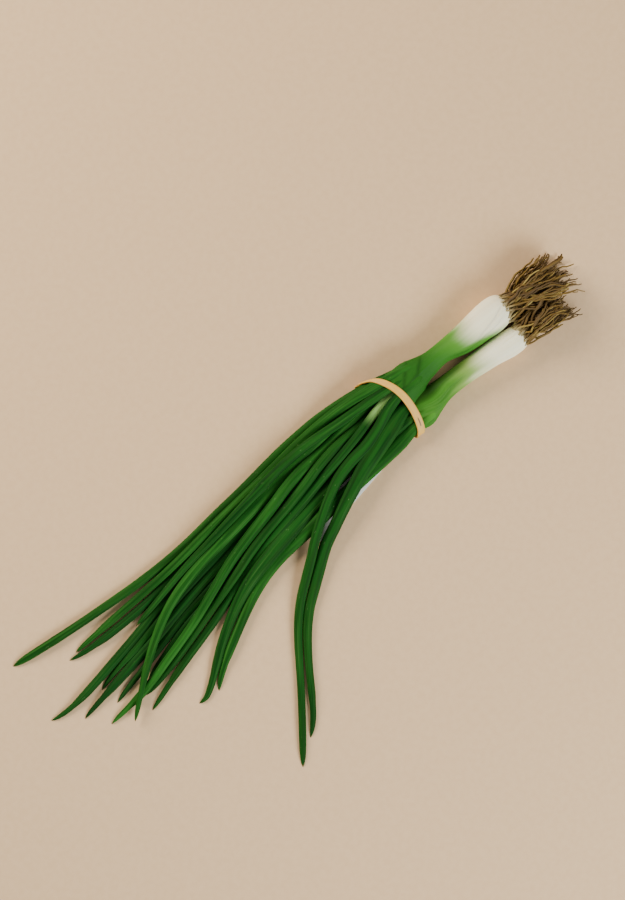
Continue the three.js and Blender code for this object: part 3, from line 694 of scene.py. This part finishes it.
def carve_sheaths(piece, side, cuts, spine, root_end):
    """Takes the web off again, then raises veins and sheath edges on the skin, and keeps where painted
    shade darkens the sheath edges.
    """
    skin = piece.data
    count = len(skin.vertices)
    place = np.array([vert.co for vert in skin.vertices])
    normal = np.array([vert.normal for vert in skin.vertices])
    neck_end = cuts[0, 0]
    grown = (root_end - place[:, 0]) / mm
    past = np.clip((neck_end - place[:, 0]) / stub_length[side], 0, 1)
    place -= normal * (web * (1 - past))[:, None]
    centre_y = np.interp(place[:, 0], spine[:, 0], spine[:, 1])
    centre_z = np.interp(place[:, 0], spine[:, 0], spine[:, 2])
    half = np.interp(place[:, 0], cuts[:, 0], cuts[:, 4])
    angle = np.arctan2(place[:, 2] - centre_z, place[:, 1] - centre_y)
    leafy = np.clip((grown - leafy_from) / leafy_over, 0, 1)
    lift = sum(vein_lift(angle, grown, *vein) for vein in veins_raised)
    lift += leafy * vein_lift(angle, grown, *leafy_rib)
    # Where the sheath edges run: there the skin's colour is darkened as painted shade in their creases
    crease = np.zeros(count)
    for edge in sheath_edges[side]:
        along, share = np.array(edge, float).T
        across = (place[:, 1] - centre_y) - np.interp(grown, along, share) * half
        inside = np.clip((grown - along[0]) / edge_start, 0, 1)
        inside = inside * np.clip((along[-1] - grown) / edge_end, 0, 1) * (place[:, 2] > centre_z)
        groove = np.exp(-((across / edge_groove["width"]) ** 2))
        step = np.where(across > 0, np.exp(-across / edge_step["run"]), 0)
        lift += inside * (edge_step["height"] * step - edge_groove["depth"] * groove)
        line = np.exp(-((across / ((crease_width + leafy) * mm)) ** 2))
        crease = np.maximum(crease, inside * line)
    place += normal * (lift * (1 - past))[:, None]
    place[:, 2] = np.maximum(place[:, 2], bulb_lowest)
    skin.vertices.foreach_set("co", place.ravel())
    skin.attributes.new("grown", "FLOAT", "POINT").data.foreach_set("value", grown)
    skin.attributes.new("crease", "FLOAT", "POINT").data.foreach_set("value", crease)
    grain = np.column_stack((np.cos(angle), np.sin(angle), grown)).astype(np.float32)
    skin.attributes.new("grain", "FLOAT_VECTOR", "POINT").data.foreach_set("vector", grain.ravel())
    lower = np.full(count, float(side == "lower"), np.float32)
    skin.attributes.new("lower_neck", "FLOAT", "POINT").data.foreach_set("value", lower)
    skin.shade_smooth()
    skin.update()


def bulb_skin():
    """Moist white skin that turns green along the neck, with fine veins, painted shade along the sheath
    edges and painted shade on the lower neck's side under the upper neck.
    """
    material, shader, draw = finish_material("bulb skin")
    grain = draw.read("grain", "Vector")
    grown = draw.read("grown")
    lower = draw.read("lower_neck")
    veins = draw.noise(grain * (6.0, 6.0, 0.03), detail=3.0)
    broad = draw.noise(grain * (1.5, 1.5, 0.05), detail=2.0, seed=4.0)
    spread = draw.noise(grain * (1.7, 1.7, 0.02), detail=3.0, seed=9.0)
    white = draw.blend(veins.ramp(0.35, 0.75), tint(255, 248, 216), tint(250, 240, 204))
    pale = draw.blend(lower, tint(88, 146, 50), tint(138, 168, 84))
    green = draw.blend(lower, tint(56, 114, 36), tint(72, 128, 40))
    deep = draw.blend(lower, tint(38, 92, 28), tint(60, 118, 34))
    ribs = draw.blend(lower, tint(50, 112, 40), tint(116, 156, 76))
    across = draw.node("ShaderNodeSeparateXYZ", inputs={0: grain}).out("X")
    flank = (across.ramp(-0.45, -0.8) * 10 + across.ramp(-0.7, -0.98) * 9) * (1 - lower)
    bleached = across.ramp(-0.25, -0.8) * grown.ramp(26.0, 44.0) * lower
    reach = grown + (spread - 0.5) * 14 + flank - bleached * 8
    green = draw.blend(grown.ramp(50.0, 68.0), green, deep)
    green = draw.blend(veins.ramp(0.45, 0.7) * 0.2, green, ribs)
    colour = draw.blend(reach.ramp(21.0, 43.0), white, pale)
    colour = draw.blend(reach.ramp(34.0, 57.0), colour, green)
    by_the_roots = (1 - grown.ramp(0.0, 7.0)) * broad.ramp(0.35, 0.7)
    colour = draw.blend(by_the_roots * 0.7, colour, tint(196, 178, 128))
    # Painted shade: the side of the lower neck that lies under the upper neck is darkened in colour
    painted_neck_shade = across.ramp(0.2, 0.75) * grown.ramp(30.0, 48.0) * lower
    colour = draw.blend(painted_neck_shade * 0.8, colour, tint(28, 62, 14))
    # Painted shade: the colour is darkened along the sheath edges, as the shade in their creases
    painted_crease_dimming = 1 - draw.read("crease") * grown.ramp(30.0, 60.0, 0.14, 0.34) * (1 - lower * 0.6)
    colour = draw.node("ShaderNodeHueSaturation", inputs={"Color": colour, "Value": painted_crease_dimming})
    rough = veins.ramp(0.3, 0.8, 0.5, 0.62)
    bump = draw.node("ShaderNodeBump", inputs={"Strength": 0.18, "Distance": 0.12 * mm, "Height": veins})
    connect(shader, Base_Color=colour, Roughness=rough, Normal=bump)
    shader.inputs["Specular IOR Level"].default_value = 0.06
    shader.inputs["Subsurface Weight"].default_value = 0.14
    shader.inputs["Subsurface Radius"].default_value = (1.0, 0.9, 0.6)
    shader.inputs["Subsurface Scale"].default_value = 1.6 * mm
    return material


bulb_material = bulb_skin()
for side in ("upper", "lower"):
    piece, cuts, spine, root_end = bulb_surface(side)
    carve_sheaths(piece, side, cuts, spine, root_end)
    piece.data.materials.append(bulb_material)
    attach(piece, "root")
    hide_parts(f"{side}_onion_bulb")

# The roots are dry wiry threads, brown to straw coloured, that grow in a tuft
# from a small plate at the end of each bulb and fan out on the surface.

root_count = 172
root_lock = 4
root_points = 26
root_sides = 6
root_cut = 3 * mm
root_plate_sunk = 1.5 * mm
root_looks = {
    "upper": {"bend": -0.17, "seed": 11, "longest": 49 * mm, "plate": 8.8 * mm, "shift": 0.9 * mm},
    "lower": {"bend": 0.03, "seed": 23, "longest": 41 * mm, "plate": 7.0 * mm, "shift": -0.5 * mm},
}


def root_skin():
    """Dry root fibre, from dark brown to straw, cream where it leaves the plate."""
    material, shader, draw = finish_material("root fibre")
    pick = draw.read("pick")
    share = draw.read("share")
    place = draw.node("ShaderNodeTexCoord", output="Object")
    mottle = draw.noise(place, scale=420.0, detail=3.0)
    shade = pick * 1.25 - 0.12 + (mottle - 0.5) * 0.35
    colour = draw.node("ShaderNodeValToRGB", {"stops": [
        (0.0, tint(70, 47, 4)), (0.4, tint(82, 58, 6)), (0.7, tint(98, 72, 10)),
        (0.88, tint(116, 90, 22)), (1.0, tint(154, 134, 66))]}, {0: shade})
    colour = draw.blend((1 - share.ramp(0.02, 0.16)) * 0.5, colour, tint(200, 184, 132))
    rough = mottle.ramp(0.2, 0.8, 0.62, 0.85)
    bump = draw.node("ShaderNodeBump", inputs={"Strength": 0.5, "Distance": 0.1 * mm, "Height": mottle})
    connect(shader, Base_Color=colour, Roughness=rough, Normal=bump)
    return material


def root_threads(material):
    """The tree that grows one tuft of threads out of a round plate."""
    line = new_tree("root threads", {
        "Plate": ("Vector", (0.0, 0.0, 0.0)),
        "Plate radius": ("Float", 7.0 * mm),
        "Plate dome": ("Float", 4.3 * mm),
        "Plate slant": ("Float", 3.8 * mm),
        "Threads": ("Int", root_count),
        "Threads in a lock": ("Int", root_lock),
        "Points": ("Int", root_points),
        "Sides": ("Int", root_sides),
        "Shortest": ("Float", 20 * mm),
        "Longest": ("Float", 47 * mm),
        "Bend": ("Float", -0.17),
        "Unruly": ("Float", 0.95),
        "Crossing": ("Float", 0.35),
        "Sway": ("Float", 12 * mm),
        "Sway run": ("Float", 13 * mm),
        "Curl": ("Float", 0.45 * mm),
        "Curl run": ("Float", 4 * mm),
        "Sideways": ("Float", 8 * mm),
        "Upward": ("Float", 11 * mm),
        "Gather": ("Float", 0.74),
        "Highest": ("Float", 21.8 * mm),
        "Highest apart": ("Float", 2 * mm),
        "Lowest": ("Float", 0.7 * mm),
        "Lowest apart": ("Float", 1.6 * mm),
        "Droop": ("Float", 4.5),
        "Thickness": ("Float", 0.74 * mm),
        "Seed": ("Int", 11),
    })
    dots = line.node("GeometryNodePoints", inputs={"Count": line.out("Threads")})
    thread = line.node("GeometryNodeCurvePrimitiveLine", inputs={"End": (1.0, 0.0, 0.0)})
    thread = thread.node("GeometryNodeResampleCurve", {"mode": "COUNT"},
                         {0: thread, "Count": line.out("Points")})
    tuft = dots.node("GeometryNodeInstanceOnPoints", inputs={"Points": dots, "Instance": thread})
    index = line.node("GeometryNodeInputIndex")
    lock = line.math("FLOOR", index / line.out("Threads in a lock"))

    def random(low, high, salt, key=index):
        seed = line.out("Seed") + salt
        return line.node("FunctionNodeRandomValue", {"data_type": "FLOAT"},
                         {2: low, 3: high, 7: key, 8: seed}, output=1)

    def mostly_alike(salt, alike):
        return random(0.0, alike, salt, lock) + random(0.0, 1.0 - alike, salt + 50)

    thread_looks = {
        "spin": random(0.0, 2 * math.pi, 0),
        "out": line.math("SQRT", random(0.0, 1.0, 100)),
        "lock_spin": random(0.0, 2 * math.pi, 600, lock),
        "lock_out": line.math("SQRT", random(0.0, 1.0, 700, lock)),
        "long": mostly_alike(200, 0.6),
        "pick": mostly_alike(300, 0.4),
        "salt": random(0.0, 90.0, 400, lock) + random(0.0, 0.5, 450),
        "lean": mostly_alike(500, 0.8),
    }
    for name, value in thread_looks.items():
        tuft = tuft.keep(name, value, domain="INSTANCE")
    tuft = tuft.node("GeometryNodeRealizeInstances", inputs={0: tuft})
    share = tuft.node("GeometryNodeSplineParameter")
    out = tuft.named("lock_out")
    salt = tuft.named("salt")
    length = line.out("Shortest") + (line.out("Longest") - line.out("Shortest")) * tuft.named("long")
    length = length * (1.0 - out * 0.12)
    travel = length * share
    rest = 1.0 - share
    fan = out * (0.62 + tuft.named("pick") * 0.5) * (1.0 - rest * rest * rest)

    def wave(run, start, detail):
        place = tuft.node("ShaderNodeCombineXYZ", inputs={0: travel / run, 1: salt, 2: start})
        return tuft.noise(place, detail=detail).out("Color") - (0.5, 0.5, 0.5)

    sway = wave(line.out("Sway run"), 0.0, 2.0)
    curl = wave(line.out("Curl run"), 5.0, 1.0)
    cosine = tuft.math("COSINE", tuft.named("lock_spin"))
    sine = tuft.math("SINE", tuft.named("lock_spin"))
    gather = share.ramp(0.0, 0.5, 0.0, line.out("Gather"))
    own = tuft.named("out") * (1.0 - gather)
    plate_y = tuft.math("COSINE", tuft.named("spin")) * own + cosine * out * gather
    plate_z = tuft.math("SINE", tuft.named("spin")) * own + sine * out * gather
    lean = (tuft.named("lean") - 0.5 - cosine * out * line.out("Crossing")) * line.out("Unruly")
    y = plate_y * line.out("Plate radius") + cosine * fan * line.out("Sideways")
    y = y + travel * (line.out("Bend") + lean)
    z = plate_z * line.out("Plate radius") + sine * fan * line.out("Upward")
    z = z - travel * travel * line.out("Droop")
    low_side = tuft.math("MAXIMUM", plate_y * -1.0, 0.0)
    forward = travel - (plate_y * plate_y + plate_z * plate_z) * line.out("Plate dome")
    forward = forward - low_side * low_side * line.out("Plate slant")
    base = tuft.node("ShaderNodeCombineXYZ", inputs={0: forward, 1: y, 2: z}) + line.out("Plate")
    loose = share.ramp(0.0, 0.35)
    wander = sway * (loose * (0.5 + share * 0.6) * line.out("Sway")) + curl * (loose * line.out("Curl"))
    free = tuft.node("ShaderNodeSeparateXYZ", inputs={0: base + wander})
    lowest = line.out("Lowest") + tuft.named("pick") * line.out("Lowest apart")
    highest = line.out("Highest") - tuft.named("pick") * line.out("Highest apart")
    height = tuft.math("MINIMUM", tuft.math("MAXIMUM", free.out("Z"), lowest), highest)
    place = tuft.node("ShaderNodeCombineXYZ", inputs={0: free.out("X"), 1: free.out("Y"), 2: height})
    tuft = tuft.keep("share", share)
    tuft = tuft.node("GeometryNodeSetPosition", inputs={0: tuft, "Position": place})
    ring = line.node("GeometryNodeCurvePrimitiveCircle", inputs={"Resolution": line.out("Sides")})
    thin = tuft.named("share") * tuft.named("share") * tuft.named("share") * 0.5
    taper = line.out("Thickness") * (1.0 - thin) * (0.65 + tuft.named("lean") * tuft.named("long") * 0.8)
    tuft = tuft.node("GeometryNodeCurveToMesh",
                     inputs={0: tuft, 1: ring, "Scale": taper, "Fill Caps": True})
    end_tree(tuft, material)
    return line.tree


root_material = root_skin()
root_tree = root_threads(root_material)
for side, looks in root_looks.items():
    low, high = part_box(f"{side}_onion_bulb")
    cut = slices(f"{side}_onion_bulb", [high.x - root_cut])[0]
    plate = (high.x - root_plate_sunk, cut[1] - looks["shift"], cut[2])
    values = {"Plate": plate, "Seed": looks["seed"], "Bend": looks["bend"], "Longest": looks["longest"],
              "Plate radius": looks["plate"]}
    piece = grow(bpy.data.meshes.new("roots"), f"{side}_root_threads", root_tree, values)
    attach(piece, "root")
    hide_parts(f"{side}_onion_roots")

# The band is a flat loop of natural rubber, stretched round all the leaves.
# It leans, so its top lies nearer the roots, and near its low end a slit is painted in as a dark line of
# shade.

band_steps = 240
band_width = 5 * mm
band_thickness = 1.05 * mm
band_clearance = 0.12 * mm
band_reach = 4.5 * mm
band_edge_points = 7
band_middle = 0.9
band_rounding = 60
band_narrowing = 0.74
band_narrow_turn = 0.36
band_narrow_reach = 0.85
band_lean = 1.2
band_skew = -0.195
band_shift = 1.3 * mm
band_level = 5 * mm
band_level_bend = 2 * mm
band_lowest = 0.03 * mm
slit_turn = 2.03
slit_way = (math.cos(slit_turn), math.sin(slit_turn), 0.0)


def band_plane():
    """The leaning plane of the band: x as a sum of a start, y times skew and z times lean."""
    points = np.array([vert.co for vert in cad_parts["rubber_band"].data.vertices])
    starts = points[:, 0] - points[:, 1] * band_skew - points[:, 2] * band_lean
    return np.mean(starts) + band_shift, band_skew, band_lean


def band_loop(plane):
    """The path of the stretched band round the leaves, as it is pulled tight."""
    held = []
    for leaf in leaf_pieces.values():
        points = np.array([vert.co for vert in leaf.data.vertices])
        off = points[:, 0] - plane[0] - points[:, 1] * plane[1] - points[:, 2] * plane[2]
        held.append(points[np.abs(off) < band_reach, 1:])
    held = np.concatenate(held)
    angles = np.arange(band_steps) * 2 * math.pi / band_steps
    ways = np.column_stack((np.cos(angles), np.sin(angles)))
    reach = (held @ ways.T).max(0) + band_clearance + band_thickness / 2
    for _ in range(band_rounding):
        reach = (np.roll(reach, 1) + reach * 2 + np.roll(reach, -1)) / 4
    slope = (np.roll(reach, -1) - np.roll(reach, 1)) / (2 * angles[1])
    y = np.cos(angles) * reach - np.sin(angles) * slope
    z = np.sin(angles) * reach + np.cos(angles) * slope
    lean_height = (z + band_level + np.hypot(z - band_level, band_level_bend)) / 2
    x = plane[0] + plane[1] * y + plane[2] * lean_height
    return np.column_stack((x, y, z))


def band_mesh():
    """Sweeps a flat section with soft edges round the loop."""
    path = band_loop(band_plane())
    ahead = np.roll(path, -1, 0) - np.roll(path, 1, 0)
    ahead /= np.linalg.norm(ahead, axis=1)[:, None]
    outward = np.column_stack((np.zeros(band_steps), ahead[:, 2], -ahead[:, 1]))
    outward /= np.linalg.norm(outward, axis=1)[:, None]
    across = np.cross(outward, ahead)
    across /= np.linalg.norm(across, axis=1)[:, None]
    section = []
    for end in (1, -1):
        for step in range(band_edge_points):
            turn = math.pi * (step / (band_edge_points - 1) - 0.5) * end
            sideways = end * (band_width - band_thickness + math.cos(turn) * band_thickness) / 2
            section.append((sideways, math.sin(turn) * band_thickness / 2))
        section.append((0.0, end * band_thickness / 2 * band_middle))
    verts = []
    for index in range(band_steps):
        turn = index / band_steps * 2 * math.pi
        pull = 1 - band_narrowing * math.exp(-((turn - band_narrow_turn) / band_narrow_reach) ** 2)
        for side, layer in section:
            verts.append(path[index] + across[index] * side * pull + outward[index] * layer)
    verts = np.array(verts)
    verts[:, 2] = np.maximum(verts[:, 2], band_lowest)
    size = len(section)
    faces = []
    for index in range(band_steps):
        near, far = index * size, (index + 1) % band_steps * size
        for corner in range(size):
            after = (corner + 1) % size
            faces.append((near + corner, near + after, far + after, far + corner))
    mesh = bpy.data.meshes.new("stretched band")
    mesh.from_pydata(verts.tolist(), [], faces)
    shape = bmesh.new()
    shape.from_mesh(mesh)
    bmesh.ops.recalc_face_normals(shape, faces=shape.faces)
    shape.to_mesh(mesh)
    shape.free()
    along = np.repeat(np.arange(band_steps) / band_steps, size)
    sides = np.tile([side / band_width for side, _ in section], band_steps)
    ribbon = np.column_stack((np.cos(along * 2 * math.pi), np.sin(along * 2 * math.pi), sides))
    mesh.attributes.new("ribbon", "FLOAT_VECTOR", "POINT").data.foreach_set("vector", ribbon.ravel())
    mesh.shade_smooth()
    return mesh


def band_rubber():
    """Dull tan rubber with stretch lines along it, painted shade along both edges and a slit painted in as
    a dark line of shade.
    """
    material, shader, draw = finish_material("band rubber")
    ribbon = draw.read("ribbon", "Vector")
    across = draw.node("ShaderNodeSeparateXYZ", inputs={0: ribbon}).out("Z")
    streaks = draw.noise(ribbon * (5.0, 5.0, 26.0), detail=3.0)
    cloud = draw.noise(ribbon * (9.0, 9.0, 3.0), detail=2.0, seed=2.0)
    edge = draw.math("ABSOLUTE", across).ramp(0.36, 0.5)
    facing = draw.node("ShaderNodeVectorMath", {"operation": "DOT_PRODUCT"},
                       {0: ribbon * (1.0, 1.0, 0.0), 1: slit_way}, output=1)
    # Painted shade: a dark line for the shade in the slit near the band's low end
    slit_shade = facing.ramp(0.9968, 0.9992) * (1 - draw.math("ABSOLUTE", across - 0.04).ramp(0.03, 0.14))
    colour = draw.blend(streaks.ramp(0.3, 0.7), tint(232, 184, 82), tint(214, 160, 62))
    colour = draw.blend(cloud.ramp(0.45, 0.75) * 0.5, colour, tint(238, 194, 94))
    # Painted shade: the colour is darker along both edges, so the middle reads lighter
    colour = draw.blend(edge * 0.55, colour, tint(180, 122, 46))
    colour = draw.blend(slit_shade * 0.9, colour, tint(92, 52, 16))
    rough = cloud.ramp(0.2, 0.8, 0.5, 0.66)
    bump = draw.node("ShaderNodeBump", inputs={"Strength": 0.4, "Distance": 0.12 * mm, "Height": streaks})
    connect(shader, Base_Color=colour, Roughness=rough, Normal=bump)
    shader.inputs["Subsurface Weight"].default_value = 0.08
    shader.inputs["Subsurface Scale"].default_value = 1 * mm
    return material


band_piece = in_scene("stretched_band", band_mesh())
band_piece.data.materials.append(band_rubber())
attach(band_piece, "root")
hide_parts("rubber_band")

# The slip is a plain strip of thin card under the leaves. Nothing is on it, and
# only its outer edge shows past the broad leaf.

slip_cells = (60, 24)
slip_wave = 0.12 * mm
slip_wave_turns = (7.0, 2.0)
slip_lowest = 0.02 * mm
slip_thinner = 0.55


def slip_mesh():
    """Bends the four corners of the slip's solid into a fine sheet with a gentle wave."""
    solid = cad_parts["blank_slip"].data
    points = {tuple(round(part, 6) for part in vert.co) for vert in solid.vertices}
    corners = sorted({point[:2] for point in points})
    first, left, right = (Vector(corner) for corner in corners[:3])
    thickness = max(point[2] for point in points)
    along, across = (right - first), (left - first)
    if along.length < across.length:
        along, across = across, along
    columns, rows = slip_cells
    shape = bmesh.new()
    bmesh.ops.create_grid(shape, x_segments=columns, y_segments=rows, size=0.5)
    for vert in shape.verts:
        u, v = vert.co.x + 0.5, vert.co.y + 0.5
        spot = first + along * u + across * v
        wave = slip_wave * (0.5 + 0.5 * math.sin(u * slip_wave_turns[0] + v * slip_wave_turns[1]))
        vert.co = (spot.x, spot.y, slip_lowest + wave)
    sheet = bmesh.ops.extrude_face_region(shape, geom=list(shape.faces))
    raised = [item for item in sheet["geom"] if isinstance(item, bmesh.types.BMVert)]
    bmesh.ops.translate(shape, verts=raised, vec=(0, 0, thickness * slip_thinner))
    bmesh.ops.recalc_face_normals(shape, faces=shape.faces)
    mesh = bpy.data.meshes.new("slip sheet")
    shape.to_mesh(mesh)
    shape.free()
    return mesh


def slip_card():
    """Uncoated card with a faint fibre pattern."""
    material, shader, draw = finish_material("slip card")
    place = draw.node("ShaderNodeTexCoord", output="Object")
    fibre = draw.noise(place * (1.0, 2.4, 1.0), scale=900.0, detail=4.0)
    cloud = draw.noise(place, scale=90.0, detail=2.0, seed=3.0)
    colour = draw.blend(fibre.ramp(0.3, 0.7), tint(250, 248, 240), tint(240, 237, 226))
    colour = draw.blend(cloud.ramp(0.4, 0.8) * 0.4, colour, tint(230, 226, 212))
    bump = draw.node("ShaderNodeBump", inputs={"Strength": 0.3, "Distance": 0.05 * mm, "Height": fibre})
    connect(shader, Base_Color=colour, Roughness=fibre.ramp(0.2, 0.8, 0.75, 0.9), Normal=bump)
    return material


slip_piece = in_scene("card_slip", slip_mesh())
slip_piece.data.materials.append(slip_card())
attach(slip_piece, "root")
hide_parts("blank_slip")

# The surface is a pale warm sheet. It isn't part of the bunch.

surface_size = 12.0


def surface_paper():
    """Matt warm paper with a faint fibre pattern."""
    material, shader, draw = finish_material("surface paper")
    place = draw.node("ShaderNodeTexCoord", output="Object")
    fibre = draw.noise(place, scale=260.0, detail=4.0)
    colour = draw.blend(fibre.ramp(0.3, 0.7), tint(222, 187, 145), tint(218, 182, 140))
    connect(shader, Base_Color=colour, Roughness=fibre.ramp(0.0, 1.0, 0.8, 0.9))
    return material


sheet = bmesh.new()
bmesh.ops.create_grid(sheet, x_segments=1, y_segments=1, size=surface_size / 2)
surface = in_scene("surface", bpy.data.meshes.new("surface"))
sheet.to_mesh(surface.data)
sheet.free()
surface.data.materials.append(surface_paper())

# Soft studio light: a large cool lamp at the lower right of the picture, a warm
# one at its upper left, and an even sky.

lamp_size = 0.8
sky_light = {"Color": (1.0, 0.98, 0.95, 1.0), "Strength": 0.28}
picture_right = Vector((0.755, -0.656, 0))
picture_up = Vector((0.656, 0.755, 0))
aim = Vector((0.01438, 0.06019, 0.008))


def lamp(name, right, up, height, power, colour):
    """A round lamp this far beside and above the bunch, turned to it."""
    light = bpy.data.lights.new(name, "AREA")
    light.shape = "DISK"
    light.size = lamp_size
    light.energy = power
    light.color = colour
    piece = in_scene(name, light)
    piece.location = aim + picture_right * right + picture_up * up + Vector((0, 0, height))
    piece.rotation_euler = (aim - piece.location).to_track_quat("-Z", "Y").to_euler()


lamp("key", right=0.95, up=-0.76, height=0.85, power=30, colour=(0.95, 1.0, 1.0))
lamp("fill", right=-0.95, up=0.76, height=0.7, power=31.5, colour=(1.0, 0.91, 0.78))
world = bpy.data.worlds.new("sky")
world.use_nodes = True
for title, value in sky_light.items():
    world.node_tree.nodes["Background"].inputs[title].default_value = value
bpy.context.scene.world = world

# The camera looks straight down, with the roots at the upper right.

picture_height = 0.54
lens = 200.0
sensor = 36.0
camera_data = bpy.data.cameras.new("camera")
camera_data.lens = lens
camera_data.sensor_width = sensor
camera = in_scene("camera", camera_data)
camera.location = aim + Vector((0, 0, picture_height * lens / sensor))
camera.rotation_euler = (0, 0, math.atan2(picture_right.y, picture_right.x))
bpy.context.scene.camera = camera
